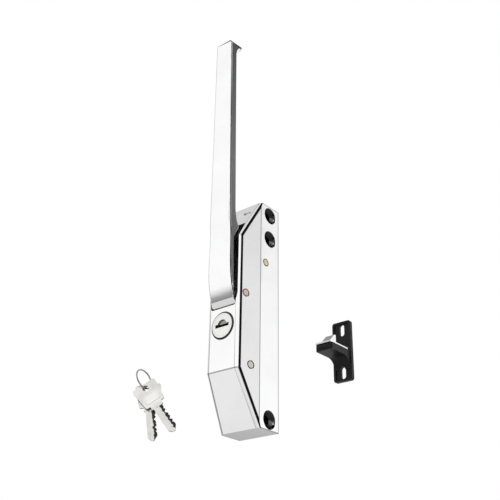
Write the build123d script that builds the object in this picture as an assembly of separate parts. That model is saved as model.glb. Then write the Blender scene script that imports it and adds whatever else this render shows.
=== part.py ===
from build123d import *
import os
from math import asin, atan2, cos, degrees, radians, sin, sqrt

# Everything is drawn in millimetres from the lower front corner of the body:
# X from the middle plane, Y from the front face towards the back, Z from the bottom end.
# set_on_mount at the end moves it to the row frame, on the middle of the outer mounting screws.

# Body, a hollow die casting that is open at the back
body_width = 34.0
body_depth = 41.0
body_height = 168.0
nose_width = 28.0
crease_depth = 19.5
front_low = 36.4
front_high = 134.4
wall = 2.2
front_round = 3.4
slope_round = 1.2
back_round = 0.8

# Mounting screw holes, through the body from the right side to the mounting face
screw_depth = 30.0
screw_low = 7.1
screw_middle = 141.1
screw_high = 160.6
screw_hole = 6.6
screw_sink = 13.0
screw_boss_wall = 1.5

# Cross pins
pin_diameter = 5.5
pin_groove = 0.35
pin_fit = 0.02
pivot_depth = 6.2
pivot_height = 90.9
stop_pin_reach = 35.2
stop_pin_angle = 57.2
anchor_depth = 11.5
anchor_height = 40.5

# Clearances
running_gap = 0.05
seat_gap = 0.3
side_gap = 0.15
hub_gap = 0.5

# Opening for the handle in the front of the body, and the step above it
opening_high = 148.0
opening_corner = 1.8
opening_side = 1.5
opening_foot = 3.8
opening_shoulder = 8.2
step_high = 160.5
step_depth = 0.7
step_corner = 4.0

# Cross ribs in the body
rib_thickness = 2.0
rib_low = 24.0
rib_low_depth = 20.0
rib_high_depth = 6.8
rib_high_gap = 3.5

# Handle
handle_root_width = 21.8
handle_middle_width = 18.2
handle_top_width = 15.6
handle_top = 308.5
handle_middle = 198.0
handle_front_top = -9.5
handle_front_neck = -7.2
handle_front_bow = -6.2
handle_front_heel = -5.0
handle_front_lip = -1.6
handle_neck_rise = 54.1
handle_bow_rise = 19.1
handle_heel_rise = 7.1
handle_lip_drop = 4.6
handle_lip_angle = -125.0
handle_thickness_neck = 7.8
handle_thickness_top = 8.0
handle_blade_rise = 64.1
handle_shoulder_behind = 6.3
handle_shoulder_rise = 44.1
grip_tip_depth = 3.6
grip_tip_thickness = 3.6
grip_tip_rise = 1.2
grip_flare = 12.0
nose_radius = 9.5
nose_gap = 0.2
cheek_gap = 16.6
spine_thickness = 2.6
channel_roof = 4.0
channel_slant = 6.0
nose_wall_end = 2.0
pocket_wall = 2.6
pocket_depth = 3.0
pocket_low = 168.0
pocket_high = 288.0
edge_round = 1.4
post_behind = 11.8
post_below = 8.4
post_eye = 3.2
post_diameter = 3.0
post_head = 4.4
post_head_thickness = 0.6

# Hook
hook_thickness = 7.5
hook_hub = 7.0
hook_clear = 0.85
hook_nose = 9.4
hook_tip_rise = 2.8
hook_throat_rise = 10.7
hook_tip_flat = 2.2
hook_lead_rise = 4.2
hook_arm_angle = 36.0
hook_valley = 3.0
hook_finger_reach = 27.0
hook_finger_start = 77.0
hook_finger_end = 88.5
hook_stop_reach = 24.0
hook_stop_diameter = 4.0
hook_stop_seat = 2.2
hook_round = 1.2

# Bushes, spacer and springs
bush_wall = 0.85
bush_flange = 0.6
bush_flange_overhang = 1.6
spacer_wall = 1.6
torsion_wire = 1.0
torsion_coils = 2
torsion_arm_angle = 20.0
torsion_arm_leg = 16.0
spring_wire = 0.8
spring_outside = 3.4
spring_side = 11.4
spring_coils = 12

# Lock
lock_face = 19.4
lock_gap = 3.3
lock_proud = 0.8
lock_head_seat = 2.2
lock_body = 16.4
lock_length = 20.0
lock_boss_wall = 3.0
lock_boss_length = 6.8
lock_rim_chamfer = 0.6
plug_face = 15.0
plug_head_length = 2.4
plug_body = 11.0
plug_length = 21.5
plug_square = 7.0
plug_square_round = 4.5
key_moon_radius = 4.2
key_moon_depth = 1.2
key_mouth_width = 12.0
key_mouth_height = 2.4
key_mouth_depth = 1.6
key_slot_width = 8.4
key_slot_height = 2.0
key_slot_depth = 18.0
wafer_count = 5
wafer_thickness = 1.0
wafer_width = 7.0
wafer_height = 8.6
wafer_window = 4.8
wafer_play = 1.6
wafer_first = 5.5
wafer_pitch = 2.4
nut_outside = 18.6
nut_thickness = 3.0
nut_notches = 4
nut_notch_depth = 0.8
nut_notch_width = 2.4
cam_thickness = 2.0
cam_hub = 5.6
cam_reach = 12.5
cam_tip = 3.2
cam_screw_head = 7.0
cam_screw_head_height = 2.2
cam_screw_thread = 3.2
cam_screw_length = 7.0
cam_screw_relief = 1.0
cam_screw_round = 0.9
cross_recess_length = 4.2
cross_recess_width = 0.9
cross_recess_depth = 1.0

# Strike, a plate on the frame with an arm and a ramped tooth
strike_distance = 148.0
strike_plate_width = 17.6
strike_plate_height = 51.0
strike_plate_thickness = 3.0
strike_corner = 2.2
strike_rim = 1.0
strike_rim_width = 1.8
strike_slot_pitch = 36.4
strike_slot_width = 4.5
strike_slot_length = 10.0
strike_arm_length = 27.0
strike_arm_drop = 3.7
strike_arm_flare = 6.0
strike_arm_round = 2.2
strike_arm_width = 15.4
strike_arm_thickness = 5.6
strike_arm_gap = 1.5
strike_gusset = 9.0
strike_cap_thickness = 1.4
strike_cap_rim = 0.5
strike_cap_peg = 3.0
strike_peg_length = 2.6
strike_peg_inset = 6.0
tooth_width = 8.0
tooth_height = 8.0
tooth_ramp = 8.0
tooth_flat = 2.0
tooth_inset = 2.5
tooth_round = 1.0

# Keys on their ring, hanging in an upright plane beside the body
hang_side = -94.5
hang_depth = 22.0
hang_height = 46.8
ring_radius = 7.8
ring_wire = 1.2
ring_turn = 35.0
ring_lean = 20.0
key_yaw = 40.0
key_bow_top = 19.8
key_bow_bottom = 16.0
key_bow_length = 17.6
key_bow_corner = 1.8
key_thickness = 1.8
key_panel = 0.3
key_panel_border = 2.2
key_panel_drop = 5.2
key_hole = 4.8
key_hole_inset = 1.2
key_hang = 0.8
key_stack_gap = 1.4
key_neck_length = 2.6
key_neck_width = 9.6
key_blade_length = 22.5
key_blade_width = 7.2
key_blade_thickness = 1.8
key_blend = 0.5
key_groove_width = 1.4
key_groove_depth = 0.45
key_cut_count = 5
key_cut_depths = (1.0, 1.8, 0.7, 1.5, 1.1)
key_lean = (37.0, 9.0)

# Sizes that follow from the ones above
side_slope = (body_width - nose_width) / 2 / crease_depth
pin_radius = pin_diameter / 2
stop_depth = pivot_depth + stop_pin_reach * cos(radians(stop_pin_angle))
stop_height = pivot_height + stop_pin_reach * sin(radians(stop_pin_angle))
opening_low = pivot_height - nose_radius - nose_gap
lock_height = opening_low - lock_gap - lock_face / 2
rib_high = lock_height - lock_body / 2 - lock_boss_wall - rib_high_gap
cheek_outside = handle_root_width / 2
opening_half = nose_width / 2 - opening_side
post_depth = pivot_depth + post_behind
post_height = pivot_height - post_below
handle_neck_front = pivot_height + handle_neck_rise
handle_neck_height = pivot_height + handle_blade_rise
hook_reach = stop_pin_reach - pin_radius - hook_clear
hook_face_depth = pivot_depth + hook_reach - hook_nose
hook_tip_height = pivot_height + hook_tip_rise
hook_throat_height = pivot_height + hook_throat_rise
strike_arm_top = hook_tip_height - strike_arm_gap - strike_cap_thickness
bush_radius = pin_radius + running_gap + bush_wall
bush_flange_radius = bush_radius + bush_flange_overhang
spacer_radius = pin_radius + running_gap + spacer_wall


def cross_bar(radius, depth, height, half_length):
    """Round bar along X, centred on the middle plane."""
    bar = Cylinder(radius, 2 * half_length, rotation=(0, 90, 0))
    return Pos(0, depth, height) * bar


def cross_disc(radius, depth, height, start, end):
    """Round disc along X between two side distances."""
    disc = Cylinder(radius, end - start, rotation=(0, 90, 0))
    return Pos((start + end) / 2, depth, height) * disc


def lock_disc(radius, start, end):
    """Round disc on the lock's axis between two depths."""
    disc = Cylinder(radius, end - start, rotation=(90, 0, 0))
    return Pos(0, (start + end) / 2, lock_height) * disc


def about_pivot(reach, angle):
    """Point (depth, height) at a reach and an angle from the pivot, 0 pointing to the back."""
    turn = radians(angle)
    return (pivot_depth + reach * cos(turn), pivot_height + reach * sin(turn))


def side_plate(outline, start, end):
    """Plate with an outline drawn in (depth, height), between two side distances."""
    face = Plane.YZ.offset(start) * outline
    return extrude(face, end - start)


def body_form(depth, inset):
    """Outer form of the body, or the same form drawn in all round by an inset."""
    side = make_face(Polyline(
        (crease_depth, 0), (depth, 0), (depth, body_height),
        (crease_depth, body_height), (0, front_high), (0, front_low), close=True))
    plan = make_face(Polyline(
        (-body_width / 2, crease_depth), (-body_width / 2, depth), (body_width / 2, depth),
        (body_width / 2, crease_depth), (nose_width / 2, 0), (-nose_width / 2, 0), close=True))
    if inset:
        side = offset(side, -inset, kind=Kind.INTERSECTION)
        plan = offset(plan, -inset, kind=Kind.INTERSECTION)
    return extrude(Plane.YZ * side, body_width, both=True) & extrude(plan, body_height)


def rounded_body(inset=0):
    """Outer form with rounded front edges and eased bends, or the same drawn in by an inset."""
    form = body_form(body_depth, inset)
    edges = [
        edge for edge in form.edges()
        if edge.center().Y < crease_depth - 1 and abs(edge.center().X) > nose_width / 4]
    form = fillet(edges, front_round - inset)
    bends = [
        edge for edge in form.edges()
        if abs(edge.center().Y - inset) < 0.01 and abs(edge.center().X) < 0.01]
    form = fillet(bends, slope_round)
    backs = [edge for edge in form.edges() if abs(edge.center().Y - body_depth + inset) < 0.01]
    return chamfer(backs, back_round)


def handle_opening():
    """Space that the handle comes out through: a narrow foot and a wider part above it."""
    foot = cheek_outside + nose_gap
    start = (foot, opening_low + opening_foot)
    end = (opening_half, start[1] + opening_shoulder)
    middle = (foot + 0.7 * (opening_half - foot), start[1] + 0.35 * opening_shoulder)
    right = [
        Line((foot, opening_low), start),
        ThreePointArc(start, middle, end),
        Line(end, (opening_half, opening_high)),
    ]
    left = [mirror(line, Plane.YZ) for line in right]
    ends = [
        Line((-foot, opening_low), (foot, opening_low)),
        Line((-opening_half, opening_high), (opening_half, opening_high)),
    ]
    face = make_face(Curve() + [*right, *left, *ends])
    corners = [
        corner for corner in face.vertices()
        if corner.Y < opening_low + 0.01 or corner.Y > opening_high - 0.01]
    face = Plane.XZ * fillet(corners, opening_corner)
    slope_run = crease_depth * (opening_high - front_high) / (body_height - front_high)
    return Pos(0, -1, 0) * extrude(face, -(slope_run + 2 * wall + 1))


def opening_step():
    """Shallow step in the upper slope round the top of the opening."""
    slope_angle = degrees(atan2(body_height - front_high, crease_depth))
    slope = Plane(origin=(0, 0, front_high), x_dir=(1, 0, 0),
                  z_dir=(0, -sin(radians(slope_angle)), cos(radians(slope_angle))))
    length = (step_high - front_high) / sin(radians(slope_angle))
    face = RectangleRounded(2 * opening_half, 2 * length, step_corner)
    return extrude(slope * face, step_depth, both=True)


def screw_heights():
    return (screw_low, screw_middle, screw_high)


def housing():
    """Die-cast body: outer form, cavity open at the back, bosses, ribs and bores."""
    outer = rounded_body()
    cavity = body_form(body_depth + wall + 1, wall)
    shell = outer - cavity
    inside = Part()
    for height in screw_heights():
        inside += cross_bar(screw_sink / 2 + screw_boss_wall, screw_depth, height, body_width / 2)
    for height, depth in ((rib_low, rib_low_depth), (rib_high, rib_high_depth)):
        inside += Pos(0, depth / 2, height) * Box(body_width, depth, rib_thickness)
    inside += lock_disc(lock_body / 2 + lock_boss_wall, wall / 2, wall + lock_boss_length)
    shell += inside & outer
    shell -= handle_opening()
    shell -= opening_step()
    for height in screw_heights():
        shell -= cross_bar(screw_hole / 2, screw_depth, height, body_width)
        sink = Cone(screw_hole / 2, screw_sink / 2, (screw_sink - screw_hole) / 2, rotation=(0, 90, 0))
        shell -= Pos(body_width / 2 - (screw_sink - screw_hole) / 4, screw_depth, height) * sink
    skin = outer - rounded_body(pin_groove)
    for depth, height in pin_places():
        shell -= cross_bar(pin_radius + pin_fit, depth, height, body_width)
        shell -= skin & cross_bar(pin_radius + pin_groove, depth, height, body_width)
    shell -= lock_disc(lock_face / 2 + seat_gap, -1, lock_head_seat)
    shell -= lock_disc(lock_body / 2 + pin_fit, 0, lock_boss_length + 2 * wall)
    return shell


def pin_places():
    """Depth and height of the stop pin, the pivot pin and the spring pin."""
    return ((stop_depth, stop_height), (pivot_depth, pivot_height), (anchor_depth, anchor_height))


def cross_pin(depth, height):
    """Pin across the body, its ends flush with the sides."""
    return cross_bar(pin_radius, depth, height, body_width) & rounded_body()


def handle_back(height):
    """Depth of the blade's back at a height between the neck and the flare."""
    share = (height - handle_neck_front) / (handle_top - handle_neck_front)
    front = handle_front_neck + share * (handle_front_top - handle_front_neck)
    return front + handle_thickness_neck + share * (handle_thickness_top - handle_thickness_neck)


def handle_outline():
    """Side view of the handle: blade, grip tip, neck, shoulder, cheek, spring eye and nose."""
    flare_height = handle_top - grip_flare
    tip_low = (grip_tip_depth, handle_top + grip_tip_rise - grip_tip_thickness)
    tip_high = (grip_tip_depth - 0.3, handle_top + grip_tip_rise)
    blade_end = (handle_back(flare_height), flare_height)
    blade_start = (handle_back(handle_neck_height), handle_neck_height)
    shoulder = (pivot_depth + handle_shoulder_behind, pivot_height + handle_shoulder_rise)
    seat_high = (stop_depth - pin_radius - seat_gap, stop_height + pin_radius)
    seat_low = (stop_depth - pin_radius - seat_gap, stop_height - 2 * pin_radius)
    eye_back = (post_depth + post_eye, post_height)
    eye_low = (post_depth, post_height - post_eye)
    eye_bottom = (post_depth + post_eye * cos(radians(45)), post_height - post_eye * sin(radians(45)))
    nose_low = about_pivot(nose_radius, -90)
    lip_low = about_pivot(nose_radius, handle_lip_angle)
    lip_high = (handle_front_lip, pivot_height - handle_lip_drop)
    heel = (handle_front_heel, pivot_height + handle_heel_rise)
    bow = (handle_front_bow, pivot_height + handle_bow_rise)
    neck = (handle_front_neck, handle_neck_front)
    outline = [
        Line((handle_front_top, handle_top), tip_high),
        Line(tip_high, tip_low),
        Spline(tip_low, blade_end, tangents=((-1, -0.35), (0.01, -1))),
        Line(blade_end, blade_start),
        Spline(blade_start, shoulder, tangents=((0.02, -1), (1, -0.75))),
        Line(shoulder, seat_high),
        Line(seat_high, seat_low),
        Line(seat_low, eye_back),
        ThreePointArc(eye_back, eye_bottom, eye_low),
        Line(eye_low, nose_low),
        ThreePointArc(nose_low, about_pivot(nose_radius, (handle_lip_angle - 90) / 2), lip_low),
        Line(lip_low, lip_high),
        Spline(lip_high, heel, bow, neck),
        Line(neck, (handle_front_top, handle_top)),
    ]
    return make_face(Curve() + outline)


def handle_front_view():
    """Front view of the handle, narrowing upwards along two shallow arcs."""
    low = opening_low - nose_radius
    high = handle_top + nose_radius
    right = ThreePointArc(
        (handle_root_width / 2, low), (handle_middle_width / 2, handle_middle), (handle_top_width / 2, high))
    left = ThreePointArc(
        (-handle_top_width / 2, high), (-handle_middle_width / 2, handle_middle),
        (-handle_root_width / 2, low))
    top = Line((handle_top_width / 2, high), (-handle_top_width / 2, high))
    bottom = Line((-handle_root_width / 2, low), (handle_root_width / 2, low))
    return make_face(Curve() + [right, top, left, bottom])


def root_channel():
    """Space between the cheeks, behind the spine, where the hook swings."""
    inner = handle_front_bow + spine_thickness
    behind = stop_depth + pin_diameter
    low = opening_low - nose_radius
    high = pivot_height + handle_shoulder_rise - channel_roof
    outline = Polyline(
        (pivot_depth - hook_hub - hub_gap, pivot_height),
        (inner, pivot_height + handle_bow_rise), (inner, pivot_height + hook_finger_reach + hub_gap),
        (inner + channel_slant, high), (behind, high), (behind, low),
        (pivot_depth + nose_wall_end, low), (pivot_depth + nose_wall_end, pivot_height), close=True)
    space = side_plate(make_face(outline), -cheek_gap / 2, cheek_gap / 2)
    return space + cross_bar(hook_hub + hub_gap, pivot_depth, pivot_height, cheek_gap / 2)


def handle():
    """Cast handle: blade with a grip tip, pocket in its back, and two cheeks round the hook."""
    solid = side_plate(handle_outline(), -cheek_outside, cheek_outside)
    view = extrude(Plane.XZ * handle_front_view(), 2 * body_depth, both=True)
    solid = solid & view
    fronts = [
        edge for edge in solid.edges()
        if abs(edge.center().X) > handle_top_width / 4
        and (edge.center().Y < handle_back(edge.center().Z) + 1.5 and edge.center().Z > handle_neck_height - 1
             or edge.center().Y < handle_front_lip - edge_round)]
    solid = fillet(fronts, edge_round)
    solid -= root_channel()
    solid -= handle_pocket()
    solid -= cross_bar(bush_radius + pin_fit, pivot_depth, pivot_height, body_width)
    solid -= cross_bar(post_diameter / 2 + pin_fit, post_depth, post_height, body_width)
    stop_at = about_pivot(hook_stop_reach, hook_stop_angle())
    solid -= cross_bar(hook_stop_diameter / 2 + pin_fit, *stop_at, body_width)
    return solid


def handle_pocket():
    """Long pocket that lightens the back of the blade."""
    height = pocket_high - pocket_low
    width = handle_top_width - 2 * pocket_wall
    face = SlotOverall(height, width, rotation=90)
    middle = (pocket_high + pocket_low) / 2
    back = handle_back(middle)
    return Pos(0, back + 2 * pocket_depth, middle) * extrude(Plane.XZ * face, 3 * pocket_depth)


def hook_stop_angle():
    """Angle of the stop pin that the hook's finger rests on."""
    offset_angle = asin((hook_stop_diameter / 2 + side_gap) / hook_stop_reach)
    return hook_finger_start - degrees(offset_angle)


def hook_outline():
    """Side view of the hook: hub, arm, nose with a lead-in, and a finger that finds its stop."""
    lead_angle = degrees(asin((hook_tip_height + hook_lead_rise - pivot_height) / hook_reach))
    lead_high = about_pivot(hook_reach, lead_angle)
    lead_low = (hook_face_depth + hook_tip_flat, hook_tip_height)
    arm_high = about_pivot(hook_reach, hook_arm_angle)
    arm_mid = about_pivot(hook_reach, (lead_angle + hook_arm_angle) / 2)
    throat = (hook_face_depth, hook_throat_height)
    throat_front = (pivot_depth + 1.6 * hook_hub, hook_throat_height)
    valley = about_pivot(hook_hub + hook_valley, hook_finger_start)
    finger_back = about_pivot(hook_finger_reach, hook_finger_start)
    finger_front = about_pivot(hook_finger_reach, hook_finger_end)
    hub_front = about_pivot(hook_hub, 150)
    hub_back = about_pivot(hook_hub, -10)
    outline = [
        ThreePointArc(hub_front, about_pivot(hook_hub, -110), hub_back),
        Line(hub_back, throat_front),
        Line(throat_front, throat),
        Line(throat, (hook_face_depth, hook_tip_height)),
        Line((hook_face_depth, hook_tip_height), lead_low),
        Line(lead_low, lead_high),
        ThreePointArc(lead_high, arm_mid, arm_high),
        Line(arm_high, valley),
        Line(valley, finger_back),
        Line(finger_back, finger_front),
        Line(finger_front, hub_front),
    ]
    return make_face(Curve() + outline)


def hook():
    """Cast hook that drops behind the tooth of the strike."""
    solid = side_plate(hook_outline(), -hook_thickness / 2, hook_thickness / 2)
    corners = [
        edge for edge in solid.edges().filter_by(Axis.X)
        if abs(edge.center().Z - hook_throat_height) < 0.01
        or edge.center().Z > pivot_height + hook_finger_reach - 3]
    solid = fillet(corners, hook_round)
    return solid - cross_bar(pin_radius + running_gap, pivot_depth, pivot_height, body_width)


def hook_stop_pin():
    """Pin through both cheeks that stops the hook's finger."""
    depth, height = about_pivot(hook_stop_reach, hook_stop_angle())
    return cross_bar(hook_stop_diameter / 2, depth, height, cheek_gap / 2 + hook_stop_seat)


def pivot_bushes():
    """Flanged bush in each cheek."""
    bushes = []
    for side in (1, -1):
        flange_end = cheek_outside + running_gap + bush_flange
        sleeve = cross_disc(bush_radius, pivot_depth, pivot_height, cheek_gap / 2, flange_end)
        flange = cross_disc(bush_flange_radius, pivot_depth, pivot_height,
                            cheek_outside + running_gap, flange_end)
        bore = cross_disc(pin_radius + running_gap, pivot_depth, pivot_height, 0, body_width)
        bush = sleeve + flange - bore
        bushes.append(bush if side > 0 else mirror(bush, Plane.YZ))
    return bushes


def hook_spacers():
    """Spacer tubes on the pivot pin between the hook and the two cheeks."""
    start = hook_thickness / 2 + side_gap
    end = cheek_gap / 2 - side_gap
    tube = cross_disc(spacer_radius, pivot_depth, pivot_height, start, end)
    tube -= cross_disc(pin_radius + running_gap, pivot_depth, pivot_height, start - 1, end + 1)
    return [tube, mirror(tube, Plane.YZ)]


def hook_spring():
    """Torsion spring round a spacer: one leg along the hook's arm, one up behind its stop pin."""
    radius = spacer_radius + running_gap + torsion_wire / 2
    start = hook_thickness / 2 + side_gap + torsion_wire / 2
    end = cheek_gap / 2 - side_gap - torsion_wire / 2
    start_angle = torsion_arm_angle + 90
    beside_pin = (radius - hook_stop_diameter / 2 - torsion_wire / 2 - running_gap) / hook_stop_reach
    end_angle = hook_stop_angle() + degrees(asin(beside_pin)) - 90
    turns = torsion_coils + ((end_angle - start_angle) % 360) / 360
    helix = Helix((end - start) / turns, end - start, radius)
    start_turn = radians(start_angle)
    frame = Plane(origin=(start, pivot_depth, pivot_height),
                  x_dir=(0, cos(start_turn), sin(start_turn)), z_dir=(1, 0, 0))
    coil = frame * helix
    solid = sweep(Plane(origin=coil @ 0, z_dir=coil % 0) * Circle(torsion_wire / 2), path=coil)
    pin_leg = hook_stop_reach + hook_stop_diameter / 2
    for place, angle, length in (
            (coil @ 0, torsion_arm_angle, torsion_arm_leg), (coil @ 1, end_angle + 90, pin_leg)):
        along = Vector(0, cos(radians(angle)), sin(radians(angle)))
        solid += rod(place, place + along * length, torsion_wire / 2 - pin_fit)
    return solid


def spring_post():
    """Shouldered post riveted in the right cheek for the end of the handle's spring."""
    inner = cheek_gap / 2
    outer = spring_side + spring_outside / 2 - spring_wire
    shank = cross_disc(post_diameter / 2, post_depth, post_height, inner, outer)
    head = cross_disc(post_head / 2, post_depth, post_height, outer, outer + post_head_thickness)
    return shank + head


def handle_spring():
    """Extension spring from the spring pin to the handle's post: coil and two end loops."""
    start = Vector(spring_side, anchor_depth, anchor_height)
    end = Vector(spring_side, post_depth, post_height)
    along = (end - start).normalized()
    low_loop = pin_radius + spring_wire / 2 + running_gap
    high_loop = post_diameter / 2 + spring_wire / 2 + running_gap
    coil_start = start + along * (low_loop + spring_wire)
    coil_length = (end - start).length - low_loop - high_loop - 2 * spring_wire
    radius = (spring_outside - spring_wire) / 2
    helix = Helix(coil_length / spring_coils, coil_length, radius)
    frame = Plane(origin=coil_start, x_dir=(1, 0, 0), z_dir=along)
    path = frame * helix
    solid = sweep(Plane(origin=path @ 0, z_dir=path % 0) * Circle(spring_wire / 2), path=path)
    for centre, loop, at in ((start, low_loop, path @ 0), (end, high_loop, path @ 1)):
        ring = Torus(loop, spring_wire / 2, rotation=(0, 90, 0))
        solid += Pos(*centre) * ring
        neck = centre + along * (loop if centre == start else -loop)
        solid += rod(neck, at, spring_wire / 2)
    return solid


def rod(start, end, radius):
    """Round rod between two points, with round ends."""
    along = end - start
    bar = extrude(Plane(origin=start, z_dir=along) * Circle(radius), along.length)
    return bar + Pos(*start) * Sphere(radius) + Pos(*end) * Sphere(radius)


def lock_barrel():
    """Fixed barrel of the lock, its head seated in the front of the body."""
    head = lock_disc(lock_face / 2, -lock_proud, lock_head_seat)
    rims = head.edges().filter_by(GeomType.CIRCLE).sort_by(Axis.Y)
    head = chamfer(rims[0], lock_rim_chamfer)
    barrel = head + lock_disc(lock_body / 2, lock_head_seat - 0.1, lock_length)
    barrel -= lock_disc(plug_face / 2 + running_gap, -lock_length, plug_head_length - lock_proud)
    return barrel - lock_disc(plug_body / 2 + running_gap, -lock_length, 2 * lock_length)


def lock_plug():
    """Turning plug with a key slot, wafer slots and a square end."""
    plug = lock_disc(plug_face / 2, -lock_proud, plug_head_length - lock_proud - running_gap)
    plug += lock_disc(plug_body / 2, 0, plug_length)
    square = Box(plug_square, 2 * cam_thickness, plug_square)
    square &= Cylinder(plug_square_round, plug_length, rotation=(90, 0, 0))
    plug += Pos(0, plug_length, lock_height) * square
    moon = lock_disc(key_moon_radius, -2 * lock_proud, key_moon_depth - lock_proud)
    upper = Pos(0, 0, lock_height + plug_face / 2) * Box(plug_face, plug_face, plug_face)
    plug -= moon & upper
    mouth = Box(key_mouth_width, 2 * key_mouth_depth, key_mouth_height)
    plug -= Pos(0, -lock_proud, lock_height) * mouth
    slot = Box(key_slot_width, 2 * key_slot_depth, key_slot_height)
    plug -= Pos(0, -lock_proud, lock_height) * slot
    for depth in wafer_depths():
        plug -= Pos(0, depth, lock_height) * Box(
            wafer_width + 2 * running_gap, wafer_thickness + 2 * running_gap, plug_face)
    return plug - lock_disc(cam_screw_thread / 2, plug_length - cam_screw_length, 2 * plug_length)


def wafer_depths():
    return [wafer_first + index * wafer_pitch for index in range(wafer_count)]


def lock_wafers():
    """Sprung wafers in the plug, each a plate with a window for the key."""
    wafers = []
    for depth in wafer_depths():
        plate = Box(wafer_width, wafer_thickness, wafer_height)
        window = Box(wafer_window, wafer_thickness * 2, key_slot_height + wafer_play)
        wafers.append(Pos(0, depth, lock_height) * (plate - window))
    return wafers


def lock_nut():
    """Notched ring nut that draws the barrel into the body."""
    start = wall + lock_boss_length
    nut = lock_disc(nut_outside / 2, start, start + nut_thickness)
    nut -= lock_disc(lock_body / 2 + pin_fit, start - 1, start + nut_thickness + 1)
    for index in range(nut_notches):
        notch = Pos(nut_outside / 2, 0, 0) * Box(2 * nut_notch_depth, 3 * nut_thickness, nut_notch_width)
        turned = Rot(0, 45 + index * 360 / nut_notches, 0) * notch
        nut -= Pos(0, start + nut_thickness, lock_height) * turned
    return nut


def lock_cam():
    """Cam plate on the square end of the plug, pointing down when open."""
    hub = Circle(cam_hub)
    tip = Pos(0, -(cam_reach - cam_tip)) * Circle(cam_tip)
    outline = make_hull([*hub.edges(), *tip.edges()])
    plate = extrude(Plane.XZ * outline, cam_thickness)
    hole = Box(plug_square + 2 * pin_fit, 3 * cam_thickness, plug_square + 2 * pin_fit)
    hole &= Cylinder(plug_square_round + pin_fit, plug_length, rotation=(90, 0, 0))
    return Pos(0, plug_length + cam_thickness, lock_height) * (plate - hole)


def cam_screw():
    """Pan head screw that holds the cam on the plug."""
    seat = plug_length + cam_thickness
    head = lock_disc(cam_screw_head / 2, seat, seat + cam_screw_head_height)
    head = fillet(head.edges().filter_by(GeomType.CIRCLE).sort_by(Axis.Y)[-1], cam_screw_round)
    shank_start = plug_length - cam_screw_length + cam_screw_relief
    shank = lock_disc(cam_screw_thread / 2 - pin_fit, shank_start, seat)
    recess = Box(cross_recess_length, 2 * cross_recess_depth, cross_recess_width)
    recess += Box(cross_recess_width, 2 * cross_recess_depth, cross_recess_length)
    return head + shank - Pos(0, seat + cam_screw_head_height, lock_height) * recess


def strike_middle():
    """Height of the middle of the strike's plate."""
    return strike_arm_top - strike_arm_thickness / 2 + strike_arm_drop


def strike_bracket():
    """Cast plate with raised edge bands, two slots, and an arm on curved gussets."""
    front = strike_distance - strike_plate_thickness / 2
    back = strike_distance + strike_plate_thickness / 2
    outline = RectangleRounded(strike_plate_width, strike_plate_height, strike_corner)
    face = Plane(origin=(0, back, strike_middle()), x_dir=(1, 0, 0), z_dir=(0, -1, 0))
    plate = extrude(face * outline, strike_plate_thickness)
    inside = RectangleRounded(
        strike_plate_width - 2 * strike_rim_width,
        strike_plate_height - 2 * strike_rim_width, strike_corner / 2)
    rim_face = Plane(origin=(0, front, strike_middle()), x_dir=(1, 0, 0), z_dir=(0, -1, 0))
    plate -= extrude(rim_face * inside, -strike_rim)
    arm_low = strike_arm_top - strike_arm_thickness
    arm = extrude(Pos(0, 0, arm_low) * strike_arm_plan(front), strike_arm_thickness)
    tip = front - strike_arm_length
    arm = fillet([edge for edge in arm.edges() if edge.center().Y < tip + 0.01], strike_arm_round)
    web = make_face(Curve() + [
        Line((front + strike_rim, arm_low), (front + strike_rim, arm_low - strike_gusset)),
        Line((front + strike_rim, arm_low - strike_gusset), (front, arm_low - strike_gusset)),
        ThreePointArc(
            (front, arm_low - strike_gusset),
            (front - strike_gusset * 0.3, arm_low - strike_gusset * 0.3),
            (front - strike_gusset, arm_low)),
        Line((front - strike_gusset, arm_low), (front + strike_rim, arm_low)),
    ])
    gusset = side_plate(web, -strike_arm_width / 2, strike_arm_width / 2)
    solid = plate + arm + gusset
    slot = SlotOverall(strike_slot_length, strike_slot_width, rotation=90)
    for side in (-1, 1):
        place = Pos(0, side * strike_slot_pitch / 2) * slot
        solid -= extrude(face * place, 2 * strike_plate_thickness, both=True)
    for place in strike_peg_places():
        hole = Cylinder(strike_cap_peg / 2 + pin_fit, 2 * (strike_peg_length + seat_gap))
        solid -= Pos(0, place, strike_arm_top) * hole
    return solid


def strike_arm_plan(front):
    """Plan of the strike's arm: parallel sides that flare into the plate."""
    half = strike_arm_width / 2
    wide = strike_plate_width / 2
    flare = front - strike_arm_flare
    tip = front - strike_arm_length
    root = front + strike_rim
    middle = (half + (wide - half) * 0.25, front - strike_arm_flare * 0.4)
    return make_face(Curve() + [
        Line((-half, tip), (half, tip)),
        Line((half, tip), (half, flare)),
        ThreePointArc((half, flare), middle, (wide, front)),
        Line((wide, front), (wide, root)),
        Line((wide, root), (-wide, root)),
        Line((-wide, root), (-wide, front)),
        ThreePointArc((-wide, front), (-middle[0], middle[1]), (-half, flare)),
        Line((-half, flare), (-half, tip)),
    ])


def strike_peg_places():
    """Depths of the two pegs that hold the cap on the arm."""
    end = strike_distance - strike_plate_thickness / 2 - strike_arm_length
    return (end + tooth_inset + tooth_ramp / 2, end + strike_arm_length - strike_peg_inset)


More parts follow.
